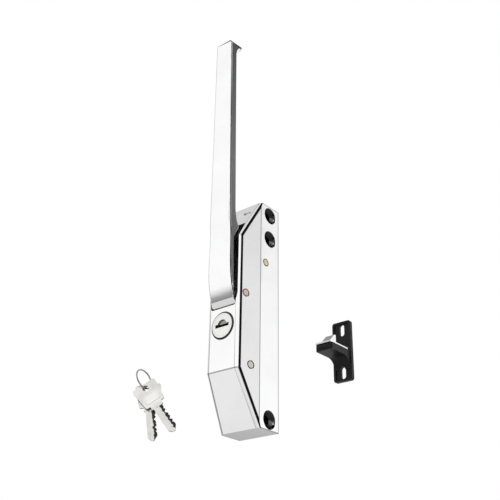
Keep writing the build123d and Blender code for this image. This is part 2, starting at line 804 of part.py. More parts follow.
def strike_tooth():
    """Plated cap on the arm with the ramped tooth that the hook drops behind."""
    front = strike_distance - strike_plate_thickness / 2
    end = front - strike_arm_length
    cap_top = strike_arm_top + strike_cap_thickness
    cap = Box(strike_arm_width - 2 * strike_cap_rim, strike_arm_length, strike_cap_thickness)
    cap = Pos(0, (front + end) / 2, strike_arm_top + strike_cap_thickness / 2) * cap
    foot = end + tooth_inset
    crest = foot + tooth_ramp
    back = crest + tooth_flat
    inside = cap_top - strike_cap_thickness / 2
    profile = make_face(Polyline(
        (foot, inside), (foot, cap_top), (crest, cap_top + tooth_height),
        (back, cap_top + tooth_height), (back, inside), close=True))
    tooth = side_plate(profile, -tooth_width / 2, tooth_width / 2)
    crests = [
        edge for edge in tooth.edges().filter_by(Axis.X)
        if edge.center().Z > cap_top + tooth_height - 0.01 and edge.center().Y < crest + 0.1]
    tooth = fillet(crests, tooth_round)
    solid = cap + tooth
    for place in strike_peg_places():
        peg = Cylinder(strike_cap_peg / 2, strike_peg_length + strike_cap_thickness)
        solid += Pos(0, place, strike_arm_top + (strike_cap_thickness - strike_peg_length) / 2) * peg
    return solid


def key_frame():
    """Plane of the keys at the place where they hang: X across, Y upwards, Z towards the viewer."""
    turn = radians(key_yaw)
    hang = (hang_side, hang_depth, hang_height)
    return Plane(origin=hang, x_dir=(cos(turn), sin(turn), 0), z_dir=(sin(turn), -cos(turn), 0))


def key_ring():
    """Split ring drawn as one closed ring, leaning in the plane of the keys and turned out of it."""
    upright = key_frame() * Rot(0, 0, ring_lean) * Rot(0, 90 - ring_turn, 0)
    return upright * Pos(0, ring_radius, 0) * Torus(ring_radius, ring_wire / 2)


def key_crossing(index):
    """Place on the ring's wire where a key hangs: (across, up, out) in the plane of the keys."""
    out = (0.5 - index) * (key_thickness + key_stack_gap)
    along = out / cos(radians(ring_turn))
    across = -along * sin(radians(ring_turn))
    rise = ring_radius - sqrt(ring_radius ** 2 - along ** 2)
    lean = radians(ring_lean)
    return (across * cos(lean) - rise * sin(lean), across * sin(lean) + rise * cos(lean), out)


def key_bow_outline(border, drop):
    """Outline of the bow, narrower towards the blade, drawn in by a border and cut short at the top."""
    top = key_hole / 2 + key_hole_inset - key_hang
    high = top - border - drop
    low = top - key_bow_length + border
    spread = (key_bow_top - key_bow_bottom) / 2 / key_bow_length
    half_high = key_bow_top / 2 - border - spread * (border + drop)
    half_low = key_bow_bottom / 2 - border + spread * border
    outline = make_face(Polyline(
        (-half_high, high), (half_high, high), (half_low, low), (-half_low, low), close=True))
    return fillet(outline.vertices(), key_bow_corner)


def key_at_rest():
    """Key hanging straight down from the origin, its plane through the origin."""
    bow = extrude(key_bow_outline(0, 0), key_thickness / 2, both=True)
    panel_face = key_bow_outline(key_panel_border, key_panel_drop)
    panel = extrude(panel_face, key_thickness / 2 + key_panel, both=True)
    blade_top = key_hole / 2 + key_hole_inset - key_hang - key_bow_length
    shoulder = blade_top - key_neck_length
    tip_low = shoulder - key_blade_length
    half = key_blade_width / 2
    neck = Pos(0, blade_top - key_neck_length / 2, 0) * Box(
        key_neck_width, key_neck_length + key_blend, key_blade_thickness)
    blade_face = make_face(Polyline(
        (-half, shoulder + key_blend), (half, shoulder + key_blend), (half, tip_low + half),
        (half * 0.25, tip_low), (-half * 0.35, tip_low), (-half, tip_low + half * 0.7), close=True))
    blade = extrude(blade_face, key_blade_thickness / 2, both=True)
    pitch = (key_blade_length - 2 * half) / key_cut_count
    for index, depth in enumerate(key_cut_depths[:key_cut_count]):
        notch = Box(depth * sqrt(2), depth * sqrt(2), 2 * key_blade_thickness)
        blade -= Pos(half, shoulder - half - index * pitch, 0) * Rot(0, 0, 45) * notch
    for side in (1, -1):
        groove = Box(key_groove_width, key_blade_length, key_groove_depth * 2)
        blade -= Pos(-half * 0.2, shoulder - key_blade_length / 2, side * key_blade_thickness / 2) * groove
    hole = Pos(0, -key_hang, 0) * Cylinder(key_hole / 2, 4 * key_thickness)
    return bow + panel + neck + blade - hole


def key(index):
    """One key hanging on the ring, leaning as it does on the ring."""
    across, rise, out = key_crossing(index)
    return key_frame() * Pos(across, rise, out) * Rot(0, 0, key_lean[index]) * key_at_rest()


def set_on_mount(shape):
    """Move a shape from the body's corner frame to the middle of the outer screws on the mounting face."""
    middle = (screw_low + screw_high) / 2
    return Pos(body_width / 2, -screw_depth, -middle) * shape


def write_part(name, shape):
    """Write one node, a list being separate solids in one node."""
    solids = shape if isinstance(shape, list) else [shape]
    placed = [solid for piece in solids for solid in set_on_mount(piece).solids()]
    whole = placed[0] if len(placed) == 1 else Compound(children=placed)
    export_step(whole, f"parts/{name}.step")


def main():
    os.makedirs("parts", exist_ok=True)
    write_part("housing", housing())
    write_part("stop_pin", cross_pin(stop_depth, stop_height))
    write_part("handle_pin", cross_pin(pivot_depth, pivot_height))
    write_part("spring_pin", cross_pin(anchor_depth, anchor_height))
    write_part("handle", handle())
    write_part("pivot_bushes", pivot_bushes())
    write_part("hook", hook())
    write_part("hook_stop_pin", hook_stop_pin())
    write_part("hook_spacers", hook_spacers())
    write_part("hook_spring", hook_spring())
    write_part("spring_post", spring_post())
    write_part("handle_spring", handle_spring())
    write_part("lock_barrel", lock_barrel())
    write_part("lock_plug", lock_plug())
    write_part("lock_wafers", lock_wafers())
    write_part("lock_nut", lock_nut())
    write_part("lock_cam", lock_cam())
    write_part("cam_screw", cam_screw())
    write_part("strike_bracket", strike_bracket())
    write_part("strike_tooth", strike_tooth())
    write_part("key_ring", key_ring())
    write_part("key_1", key(0))
    write_part("key_2", key(1))


main()
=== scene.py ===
from math import cos, pi, radians, sin

import bpy
from mathutils import Matrix, Vector


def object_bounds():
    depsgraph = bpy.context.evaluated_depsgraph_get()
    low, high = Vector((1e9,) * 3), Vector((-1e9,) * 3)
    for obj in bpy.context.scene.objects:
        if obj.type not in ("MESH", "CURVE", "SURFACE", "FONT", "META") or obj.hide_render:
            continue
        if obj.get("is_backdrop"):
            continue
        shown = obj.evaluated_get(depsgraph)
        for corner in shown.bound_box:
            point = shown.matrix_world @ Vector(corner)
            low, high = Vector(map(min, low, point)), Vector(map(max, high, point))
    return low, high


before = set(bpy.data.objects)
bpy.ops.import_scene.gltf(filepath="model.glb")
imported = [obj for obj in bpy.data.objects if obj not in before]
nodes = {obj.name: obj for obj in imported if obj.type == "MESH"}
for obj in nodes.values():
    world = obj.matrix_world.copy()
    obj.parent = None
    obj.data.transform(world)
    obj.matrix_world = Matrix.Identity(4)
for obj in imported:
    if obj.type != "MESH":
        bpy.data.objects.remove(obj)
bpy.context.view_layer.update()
scene = bpy.context.scene
scene.view_settings.view_transform = "Standard"

# Lengths are in metres, angles in degrees. X runs away from the mounting face, -Y towards the person who
# pulls the handle, Z up.

# Camera of the photo, below the object's middle and to its right
camera_place = Vector((0.3627, -0.4151, -0.21805))
camera_turn, camera_height, camera_roll = 40.478, -27.244, 1.171
camera_lens, camera_sensor = 58.502, 36.0
camera_shift = (0.01307, -0.01525)
camera_near, camera_far = 0.05, 20.0

# Body: its middle plane, front, crease, back and ends, half its width at the front and behind the crease, and
# the heights at which its front folds back
body_middle = 0.017
body_front, body_crease, body_back = -0.030, -0.0105, 0.011
body_low, body_high = -0.08385, 0.08415
low_fold, high_fold = -0.04745, 0.05055
nose_half, body_half = 0.014, 0.017
skin_depth = 0.0012
edge_soft = 0.0001

# Painted dark reflection lines on the body's sides and front, the strength and width of each. Those on the
# sides fade in from the middle plane outwards and from ahead of the crease, and the one on the front fades out
# behind it.
crease_painted_line, back_painted_line, end_painted_line, fold_painted_line = (0.8, 0.00055), (0.8, 0.0022), (0.8, 0.0008), (0.6, 0.0007)
side_fade_start, side_fade_end = body_half - 0.0007, body_half - 0.0004
crease_fade_start, crease_fade_end = body_crease - 0.001, body_crease - 0.0005
front_fade_start, front_fade_end = body_front + 0.0008, body_front + 0.0012

# Lock: its axis, how far its face stands out, and where the painted shade in its recesses, key slot, rim and
# seat starts
lock_centre = (0.017, -0.030, -0.01565)
lock_proud = 0.0008
barrel_recess, plug_recess, slot_depth = 0.0009, 0.0004, 0.0013
rim_shade_start = 0.0087
seat_inner, seat_outer, seat_shade_strength = 0.0094, 0.0101, 0.4

# Cross pins, the painted shade on their rims and in the grooves round them; countersinks, painted dark, and
# the painted highlight spot in each
pin_centres = [(0.0, -0.00473, 0.03664), (0.0, -0.0238, 0.00705), (0.0, -0.0185, -0.04335)]
pin_rim_shade, groove_inner, groove_outer, groove_shade_strength = 0.0022, 0.00245, 0.0029, 0.4
sink_centres = [(0.0, 0.0, height) for height in (-0.07675, 0.05725, 0.07675)]
sink_radius = 0.0063
highlight_behind, highlight_below, highlight_radius = 0.0032, 0.0012, 0.0017

# Handle: the left corner of its top edge, and how the painted dark reflection line on that edge widens to the
# right
handle_corner = Vector((0.0092, 0.0, 0.22465))
handle_slant = Vector((0.075, 0.0, 1.0))
handle_painted_reflection_soft = 0.0003

# Keys: the turn of their faces, each key's pivot and lean, the painted highlight on the bow's panel, and where
# the painted dark reflection on the milled side and the blade start
key_turn = 40.0
key_poses = {
    "key_1": ((-0.077343, -0.009957, -0.0372), 37.0),
    "key_2": ((-0.077787, -0.006152, -0.036433), 9.0),
}
panel_across, panel_rise, panel_height = 0.0085, -0.0105, 0.0065
milled_start, milled_end, milled_wave = 0.0009, 0.0013, 0.0006
blade_start, blade_end = -0.0176, -0.0180

# Colours that the chromed pieces share, and the depth of the metals' grain
chrome_dark, chrome_light, chrome_worn = (0.81, 0.81, 0.815), (0.86, 0.86, 0.865), (0.92, 0.92, 0.92)
grain_depth = 0.00002


def make_camera():
    """Pinhole camera at the place and with the frame that the photo was taken from."""
    data = bpy.data.cameras.new("camera")
    data.lens = camera_lens
    data.sensor_width = camera_sensor
    data.shift_x, data.shift_y = camera_shift
    data.clip_start, data.clip_end = camera_near, camera_far
    obj = bpy.data.objects.new("camera", data)
    scene.collection.objects.link(obj)
    turn = Matrix.Rotation(radians(camera_turn), 4, "Z")
    tilt = Matrix.Rotation(radians(90 - camera_height), 4, "X")
    roll = Matrix.Rotation(radians(camera_roll), 4, "Z")
    obj.matrix_world = Matrix.Translation(camera_place) @ turn @ tilt @ roll
    scene.camera = obj


# Node trees


def new_material(name):
    """Material with a Principled shader, and its tree."""
    material = bpy.data.materials.new(name)
    material.use_nodes = True
    tree = material.node_tree
    return material, tree, tree.nodes["Principled BSDF"]


def node(tree, kind, **values):
    """A node with its properties and its input values set by name."""
    made = tree.nodes.new(kind)
    for key, value in values.items():
        if key in made.inputs:
            made.inputs[key].default_value = value
        else:
            setattr(made, key, value)
    return made


def calc(tree, operation, first, second=None):
    """Result of a maths operation; each operand is a socket or a number."""
    made = node(tree, "ShaderNodeMath", operation=operation)
    for socket, value in zip(made.inputs, (first, second)):
        if isinstance(value, (int, float)):
            socket.default_value = value
        elif value is not None:
            tree.links.new(value, socket)
    return made.outputs[0]


def larger(tree, first, second):
    """The larger of two values."""
    return calc(tree, "MAXIMUM", first, second)


def product(tree, first, second):
    """Product of two values."""
    return calc(tree, "MULTIPLY", first, second)


def distance(tree, value, place):
    """How far a value is from a place, on either side."""
    return calc(tree, "ABSOLUTE", calc(tree, "SUBTRACT", value, place))


def axes(tree):
    """X, Y and Z of a point in the object's own coordinates."""
    place = node(tree, "ShaderNodeTexCoord")
    split = node(tree, "ShaderNodeSeparateXYZ")
    tree.links.new(place.outputs["Object"], split.inputs["Vector"])
    return split.outputs


def along(tree, direction, origin):
    """Distance of a point from an origin along a direction."""
    place = node(tree, "ShaderNodeTexCoord")
    dot = node(tree, "ShaderNodeVectorMath", operation="DOT_PRODUCT")
    dot.inputs[1].default_value = direction
    tree.links.new(place.outputs["Object"], dot.inputs[0])
    return calc(tree, "SUBTRACT", dot.outputs["Value"], Vector(direction).dot(Vector(origin)))


def from_axis(tree, axis_name, centre):
    """Distance in metres of a point from an axis along X or Y through a centre (X, Y, Z)."""
    keep = tuple(0.0 if axis == axis_name else 1.0 for axis in "XYZ")
    place = node(tree, "ShaderNodeTexCoord")
    flat = node(tree, "ShaderNodeVectorMath", operation="MULTIPLY")
    flat.inputs[1].default_value = keep
    reach = node(tree, "ShaderNodeVectorMath", operation="DISTANCE")
    reach.inputs[1].default_value = [value * kept for value, kept in zip(centre, keep)]
    tree.links.new(place.outputs["Object"], flat.inputs[0])
    tree.links.new(flat.outputs["Vector"], reach.inputs[0])
    return reach.outputs["Value"]


def facing(tree, direction):
    """Share of the true normal that points in a direction."""
    flat = node(tree, "ShaderNodeNewGeometry")
    dot = node(tree, "ShaderNodeVectorMath", operation="DOT_PRODUCT")
    dot.inputs[1].default_value = direction
    tree.links.new(flat.outputs["True Normal"], dot.inputs[0])
    return dot.outputs["Value"]


def noise(tree, scale, detail=4.0, roughness=0.55, stretch=(1, 1, 1)):
    """Noise in the object's own coordinates, in waves per metre, stretched along its axes."""
    place = node(tree, "ShaderNodeTexCoord")
    shape = node(tree, "ShaderNodeMapping")
    shape.inputs["Scale"].default_value = stretch
    made = node(tree, "ShaderNodeTexNoise", Scale=scale, Detail=detail, Roughness=roughness)
    tree.links.new(place.outputs["Object"], shape.inputs["Vector"])
    tree.links.new(shape.outputs["Vector"], made.inputs["Vector"])
    return made.outputs["Fac"]


def ramp(tree, fac, stops):
    """Colour ramp; each stop is (place, colour or grey level)."""
    made = node(tree, "ShaderNodeValToRGB")
    elements = made.color_ramp.elements
    while len(elements) < len(stops):
        elements.new(0.5)
    for element, (place, value) in zip(elements, stops):
        element.position = place
        level = value if isinstance(value, tuple) else (value, value, value)
        element.color = (*level, 1.0)
    tree.links.new(fac, made.inputs["Fac"])
    return made.outputs["Color"]


def mottle(tree, scale, dark, light, stretch=(1, 1, 1)):
    """Colour that drifts slowly between two."""
    return ramp(tree, noise(tree, scale, detail=5.0, stretch=stretch), [(0.32, dark), (0.68, light)])


def spread(tree, fac, low, high, start=0.3, end=0.7):
    """Value that runs from low to high as a factor runs from start to end."""
    made = node(tree, "ShaderNodeMapRange")
    made.inputs["From Min"].default_value = start
    made.inputs["From Max"].default_value = end
    made.inputs["To Min"].default_value = low
    made.inputs["To Max"].default_value = high
    tree.links.new(fac, made.inputs["Value"])
    return made.outputs["Result"]


def past(tree, value, place):
    """1 where a value is past a place, with an edge a tenth of a millimetre soft."""
    return spread(tree, value, 0.0, 1.0, place, place + edge_soft)


def near(tree, value, place, width):
    """1 where a value is within a width of a place, with soft sides."""
    return spread(tree, distance(tree, value, place), 1.0, 0.0, width * 0.4, width)


def bump(tree, shader, height, depth, strength):
    """Bump from a height factor, its depth in metres."""
    made = node(tree, "ShaderNodeBump", Strength=strength, Distance=depth)
    tree.links.new(height, made.inputs["Height"])
    tree.links.new(made.outputs["Normal"], shader.inputs["Normal"])


def worn_edges(tree, radius, low=0.02, high=0.22):
    """Factor that is 1 on sharp edges: how far a rounded normal leaves the true one."""
    bevel = node(tree, "ShaderNodeBevel", samples=4)
    bevel.inputs["Radius"].default_value = radius
    flat = node(tree, "ShaderNodeNewGeometry")
    dot = node(tree, "ShaderNodeVectorMath", operation="DOT_PRODUCT")
    tree.links.new(bevel.outputs["Normal"], dot.inputs[0])
    tree.links.new(flat.outputs["Normal"], dot.inputs[1])
    return spread(tree, dot.outputs["Value"], 0.0, 1.0, 1 - low, 1 - high)


def mix(tree, fac, first, second):
    """Colour mixed from first to second by a factor; each is a colour or a socket."""
    made = node(tree, "ShaderNodeMix", data_type="RGBA")
    tree.links.new(fac, made.inputs["Factor"])
    for socket, value in ((made.inputs[6], first), (made.inputs[7], second)):
        if isinstance(value, tuple):
            socket.default_value = (*value, 1.0)
        else:
            tree.links.new(value, socket)
    return made.outputs[2]


def shader_mix(tree, fac, first, second):
    """Shader mixed from first to second by a factor."""
    made = node(tree, "ShaderNodeMixShader")
    for socket, value in zip(made.inputs, (fac, first, second)):
        tree.links.new(value, socket)
    return made.outputs["Shader"]


# Materials


def metal(name, dark, light, rough_low, rough_high, scale=90.0, stretch=(1, 1, 1),
          grain=0.0, grain_scale=2600.0, wear=None, wear_radius=0.0006):
    """Plated or bare metal: colour and gloss that vary slowly, a fine grain, and worn edges."""
    material, tree, shader = new_material(name)
    shader.inputs["Metallic"].default_value = 1.0
    colour = mottle(tree, scale, dark, light, stretch)
    if wear:
        colour = mix(tree, worn_edges(tree, wear_radius), colour, wear)
    tree.links.new(colour, shader.inputs["Base Color"])
    fine = noise(tree, scale * 6, detail=6.0, stretch=stretch)
    tree.links.new(spread(tree, fine, rough_low, rough_high), shader.inputs["Roughness"])
    if grain:
        bump(tree, shader, noise(tree, grain_scale, detail=3.0, stretch=stretch), grain_depth, grain)
    return material


def repaint(material, mask, colour):
    """Lays a colour over a material's own where a mask is 1."""
    tree = material.node_tree
    shader = tree.nodes["Principled BSDF"]
    plain = shader.inputs["Base Color"].links[0].from_socket
    tree.links.new(mix(tree, mask, plain, colour), shader.inputs["Base Color"])
    return material


def pin_metal(name, dark, light, rough_low, rough_high, centre):
    """Turned metal of a cross pin, with a dark rim of painted shade on its ends."""
    material = metal(name, dark, light, rough_low, rough_high, scale=300.0, stretch=(0.2, 1, 1), grain=0.2)
    tree = material.node_tree
    # Painted shade: dark rim on the pin's ends.
    return repaint(material, past(tree, from_axis(tree, "X", centre), pin_rim_shade), (0.06, 0.06, 0.06))


def handle_chrome():
    """Chrome of the handle, with a painted dark reflection along its rounded top edge, in a line that widens
    to the right.
    """
    material = metal("chrome_plate", (0.80, 0.80, 0.805), (0.85, 0.85, 0.855), 0.04, 0.08,
                     scale=30.0, grain=0.04, grain_scale=900.0, wear=chrome_worn)
    tree = material.node_tree
    rounded = spread(tree, facing(tree, (0.0, 0.0, 1.0)), 1.0, 0.0, 0.90, 0.97)
    painted_line = spread(tree, along(tree, handle_slant, handle_corner), 0.0, 1.0, -handle_painted_reflection_soft, 0.0)
    # Painted reflection: dark on the rounding of the top edge above a slanted line, but not on the flat top.
    return repaint(material, product(tree, rounded, painted_line), (0.05, 0.05, 0.05))


def tooth_chrome():
    """Chrome of the strike's tooth, with a painted grey reflection on the ramp where the hook's nose rides
    over it.
    """
    material = metal("chrome_tooth", chrome_dark, chrome_light, 0.08, 0.14,
                     scale=60.0, grain=0.04, grain_scale=900.0)
    tree = material.node_tree
    painted_reflection_ramp = spread(tree, facing(tree, (0.0, -0.7071, 0.7071)), 0.0, 1.0, 0.97, 0.995)
    # Painted reflection: the face turned forward and up is greyed.
    return repaint(material, painted_reflection_ramp, (0.20, 0.20, 0.21))


def lock_metal(name, recess_depth):
    """Warm satin chrome of the lock, with painted shade: grey in its recesses, dark in its slot and on a ring
    at its rim.
    """
    material, tree, shader = new_material(name)
    shader.inputs["Metallic"].default_value = 1.0
    colour = mottle(tree, 60.0, (0.74, 0.74, 0.72), (0.82, 0.82, 0.80))
    depth = axes(tree)["Y"]
    face = body_front - lock_proud
    # Painted shade: grey where the face lies deeper than the recess.
    colour = mix(tree, past(tree, depth, face + recess_depth), colour, (0.30, 0.30, 0.29))
    # Painted shade: dark on the ring at the rim and in the key slot.
    painted_rim_shade = past(tree, from_axis(tree, "Y", lock_centre), rim_shade_start)
    painted_slot_shade = past(tree, depth, face + slot_depth)
    colour = mix(tree, larger(tree, painted_slot_shade, painted_rim_shade), colour, (0.05, 0.05, 0.05))
    tree.links.new(colour, shader.inputs["Base Color"])
    tree.links.new(spread(tree, noise(tree, 360.0, detail=6.0), 0.14, 0.22), shader.inputs["Roughness"])
    bump(tree, shader, noise(tree, 1500.0, detail=3.0), grain_depth, 0.05)
    return material


def key_metal(name, pivot, lean):
    """Nickel of a key that leans about its pivot: pale faces, a painted highlight on its bow's panel, painted
    dark reflections on its edges and milled side.
    """
    material, tree, shader = new_material(name)
    shader.inputs["Metallic"].default_value = 1.0
    turn = radians(key_turn)
    flat = Vector((cos(turn), sin(turn), 0.0))
    out = Vector((sin(turn), -cos(turn), 0.0))
    up = Vector((0.0, 0.0, 1.0))
    lean = radians(lean)
    across = along(tree, flat * cos(lean) + up * sin(lean), pivot)
    rise = along(tree, up * cos(lean) - flat * sin(lean), pivot)
    colour = mottle(tree, 90.0, (0.58, 0.57, 0.54), (0.72, 0.71, 0.68))
    painted_panel_highlight = product(tree, near(tree, across, 0.0, panel_across), near(tree, rise, panel_rise, panel_height))
    # Painted highlight: the raised panel on the bow is made paler.
    colour = mix(tree, painted_panel_highlight, colour, (0.80, 0.80, 0.78))
    wave = spread(tree, noise(tree, 420.0, detail=2.0), -milled_wave, milled_wave)
    painted_milled_reflection = spread(tree, calc(tree, "ADD", across, wave), 0.0, 1.0, milled_start, milled_end)
    blade = spread(tree, rise, 1.0, 0.0, blade_end, blade_start)
    painted_edge_reflection = spread(tree, calc(tree, "ABSOLUTE", facing(tree, out)), 1.0, 0.0, 0.5, 0.9)
    # Painted reflection: the edges and the milled side of the blade are darkened.
    colour = mix(tree, larger(tree, painted_edge_reflection, product(tree, painted_milled_reflection, blade)), colour, (0.03, 0.03, 0.03))
    tree.links.new(colour, shader.inputs["Base Color"])
    tree.links.new(spread(tree, noise(tree, 500.0, detail=6.0), 0.18, 0.30), shader.inputs["Roughness"])
    bump(tree, shader, noise(tree, 1800.0, detail=3.0), grain_depth, 0.05)
    return material


def inside_mask(tree):
    """1 on the unplated inside of the body: further than a skin's depth behind its front, sides and ends."""
    across, depth, height = axes(tree)
    half = spread(tree, depth, nose_half - skin_depth, body_half - skin_depth, body_front, body_crease)
    room = calc(tree, "SUBTRACT", half, distance(tree, across, body_middle))
    upper = spread(tree, height, body_front, body_crease, high_fold, body_high)
    lower = spread(tree, height, body_crease, body_front, body_low, low_fold)
    deep = past(tree, calc(tree, "SUBTRACT", depth, larger(tree, upper, lower)), skin_depth)
    above = spread(tree, height, 0.0, 1.0, body_low + edge_soft, body_low + skin_depth)
    below = spread(tree, height, 1.0, 0.0, body_high - skin_depth, body_high - edge_soft)
    deep = product(tree, deep, product(tree, above, below))
    return product(tree, deep, past(tree, room, 0.0))


def painted_line_mask(tree, value, place, painted_line):
    """Painted dark reflection line with its own strength and width where a value reaches a place."""
    strength, width = painted_line
    return product(tree, near(tree, value, place, width), strength)


def painted_edge_lines(tree):
    """Painted dark reflection lines on the creases, back edges and ends of the body's sides, and on the low
    fold of its front.
    """
    across, depth, height = axes(tree)
    painted_lines = painted_line_mask(tree, depth, body_crease, crease_painted_line)
    painted_lines = larger(tree, painted_lines, painted_line_mask(tree, depth, body_back, back_painted_line))
    for end in (body_low, body_high):
        painted_lines = larger(tree, painted_lines, painted_line_mask(tree, height, end, end_painted_line))
    behind = spread(tree, depth, 0.0, 1.0, crease_fade_start, crease_fade_end)
    outer = spread(tree, distance(tree, across, body_middle), 0.0, 1.0, side_fade_start, side_fade_end)
    sides = product(tree, painted_lines, product(tree, behind, outer))
    face = spread(tree, depth, 1.0, 0.0, front_fade_start, front_fade_end)
    return larger(tree, sides, product(tree, painted_line_mask(tree, height, low_fold, fold_painted_line), face))


def round_mask(tree, axis_name, centre, outer, inner=0.0):
    """1 between two distances from an axis, with soft edges."""
    reach = from_axis(tree, axis_name, centre)
    mask = spread(tree, reach, 1.0, 0.0, outer, outer + edge_soft)
    if inner:
        mask = product(tree, mask, past(tree, reach, inner - edge_soft))
    return mask


def seam_shade_mask(tree):
    """Painted shade in the seams round the lock's seat and the cross pins."""
    # Painted shade in the seat round the lock, then in the groove round each cross pin.
    seat = round_mask(tree, "Y", lock_centre, seat_outer, seat_inner)
    mask = product(tree, seat, seat_shade_strength)
    for centre in pin_centres:
        groove = round_mask(tree, "X", centre, groove_outer, groove_inner)
        mask = larger(tree, mask, product(tree, groove, groove_shade_strength))
    return mask


def sink_shade_mask(tree):
    """Countersinks in painted shade, each with one spot left out as a painted highlight."""
    # Painted shade in each countersink.
    mask = round_mask(tree, "X", sink_centres[0], sink_radius)
    for centre in sink_centres[1:]:
        mask = larger(tree, mask, round_mask(tree, "X", centre, sink_radius))
    # Painted highlight: a round spot in each countersink keeps the chrome bright.
    for centre in sink_centres:
        highlight_spot = (0.0, centre[1] + highlight_behind, centre[2] - highlight_below)
        away = spread(tree, from_axis(tree, "X", highlight_spot), 0.0, 1.0, highlight_radius, highlight_radius * 1.5)
        mask = product(tree, mask, away)
    return mask


def body_chrome():
    """Chrome of the body: painted shade in countersinks and joints, painted dark reflection lines, and dull
    cast metal inside.
    """
    material, tree, shader = new_material("chrome_body")
    shader.inputs["Metallic"].default_value = 1.0
    colour = mottle(tree, 30.0, chrome_dark, chrome_light)
    colour = mix(tree, worn_edges(tree, 0.0006), colour, chrome_worn)
    inside = inside_mask(tree)
    cast = ramp(tree, noise(tree, 500.0, detail=6.0), [(0.3, (0.16, 0.16, 0.165)), (0.7, (0.26, 0.26, 0.265))])
    colour = mix(tree, inside, colour, cast)
    # Painted reflection: dark lines along the body's creases, edges and front fold.
    colour = mix(tree, painted_edge_lines(tree), colour, (0.16, 0.16, 0.165))
    shaded_seams = seam_shade_mask(tree)
    # Painted shade in the joints and countersinks, with a painted highlight spot left in each countersink.
    colour = mix(tree, larger(tree, shaded_seams, sink_shade_mask(tree)), colour, (0.035, 0.035, 0.036))
    tree.links.new(colour, shader.inputs["Base Color"])
    gloss = spread(tree, noise(tree, 180.0, detail=6.0), 0.06, 0.11)
    dull = product(tree, larger(tree, inside, shaded_seams), 0.42)
    tree.links.new(larger(tree, gloss, dull), shader.inputs["Roughness"])
    bump(tree, shader, noise(tree, 900.0, detail=3.0), grain_depth, 0.04)
    return material


def black_casting():
    """Satin black paint on a casting: fine orange peel, slow variation and lighter rubbed edges."""
    material, tree, shader = new_material("black_casting")
    slow = noise(tree, 140.0, detail=6.0)
    colour = ramp(tree, slow, [(0.3, (0.004, 0.004, 0.0042)), (0.7, (0.008, 0.008, 0.0085))])
    colour = mix(tree, worn_edges(tree, 0.0005), colour, (0.05, 0.05, 0.052))
    shader.inputs["Specular IOR Level"].default_value = 0.22
    tree.links.new(colour, shader.inputs["Base Color"])
    tree.links.new(spread(tree, noise(tree, 500.0), 0.30, 0.48), shader.inputs["Roughness"])
    bump(tree, shader, noise(tree, 2200.0, detail=3.0), 0.00004, 0.35)
    return material


def dress(material, *names):
    """Gives CAD nodes a material."""
    for name in names:
        slots = nodes[name].data.materials
        slots.clear()
        slots.append(material)


def make_materials():
    """Dresses every CAD node."""
    dress(handle_chrome(), "handle")
    dress(tooth_chrome(), "strike_tooth")
    dress(body_chrome(), "housing")
    dress(lock_metal("lock_chrome", barrel_recess), "lock_barrel")
    dress(lock_metal("plug_chrome", plug_recess), "lock_plug")
    zinc = metal("zinc_plate", (0.50, 0.51, 0.54), (0.66, 0.67, 0.69), 0.22, 0.38, scale=220.0, grain=0.15)
    dress(zinc, "lock_nut", "lock_cam", "cam_screw", "hook_stop_pin", "hook_spacers", "spring_post")
    cast = metal("satin_casting", (0.42, 0.43, 0.45), (0.58, 0.59, 0.61), 0.28, 0.45,
                 scale=160.0, grain=0.35, grain_scale=1400.0, wear=(0.7, 0.7, 0.72))
    dress(cast, "hook")
    wire = metal("spring_wire", (0.30, 0.31, 0.33), (0.48, 0.49, 0.51), 0.24, 0.36, scale=400.0, grain=0.2)
    dress(wire, "handle_spring", "hook_spring")
    brass_dark, brass_light = (0.72, 0.60, 0.33), (0.85, 0.76, 0.52)
    brass = metal("turned_brass", brass_dark, brass_light, 0.18, 0.30,
                  scale=300.0, stretch=(0.2, 1, 1), grain=0.2)
    dress(brass, "lock_wafers")
    # Painted shade: the pivot bushes are darkened to near black, as shade in the cavity where they sit.
    bronze = metal("bronze_painted_dark", (0.03, 0.024, 0.016), (0.06, 0.048, 0.034), 0.34, 0.46,
                   scale=300.0, grain=0.2)
    dress(bronze, "pivot_bushes")
    dress(pin_metal("brass_pin", brass_dark, brass_light, 0.18, 0.30, pin_centres[0]), "stop_pin")
    copper = pin_metal("coppered_pin", (0.80, 0.52, 0.47), (0.90, 0.68, 0.63), 0.24, 0.36, pin_centres[1])
    dress(copper, "handle_pin")
    pale = pin_metal("pale_pin", (0.72, 0.66, 0.61), (0.82, 0.76, 0.71), 0.24, 0.36, pin_centres[2])
    dress(pale, "spring_pin")
    nickel = metal("worn_nickel", (0.30, 0.29, 0.28), (0.48, 0.47, 0.45), 0.20, 0.30, scale=90.0,
                   grain=0.05, grain_scale=1800.0, wear=(0.80, 0.78, 0.74), wear_radius=0.0002)
    dress(nickel, "key_ring")
    for name, (pivot, lean) in key_poses.items():
        dress(key_metal(f"{name}_nickel", pivot, lean), name)
    dress(black_casting(), "strike_bracket")


# Light, world and floor


def aim(obj, place, target):
    """Puts an object at a place, turned towards a target."""
    obj.location = place
    obj.rotation_mode = "QUATERNION"
    obj.rotation_quaternion = (Vector(target) - Vector(place)).to_track_quat("-Z", "Y")


def area_light(name, place, target, size, power):
    """Soft studio light that doesn't show in gloss, where the studio's own walls do."""
    data = bpy.data.lights.new(name, "AREA")
    data.shape = "RECTANGLE"
    data.size, data.size_y = size
    data.energy = power
    obj = bpy.data.objects.new(name, data)
    obj.visible_glossy = False
    scene.collection.objects.link(obj)
    aim(obj, place, target)


def quad(name, corners):
    """Flat sheet with four corners, marked as stage."""
    mesh = bpy.data.meshes.new(name)
    mesh.from_pydata(corners, [], [(0, 1, 2, 3)])
    obj = bpy.data.objects.new(name, mesh)
    scene.collection.objects.link(obj)
    obj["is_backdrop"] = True
    return obj


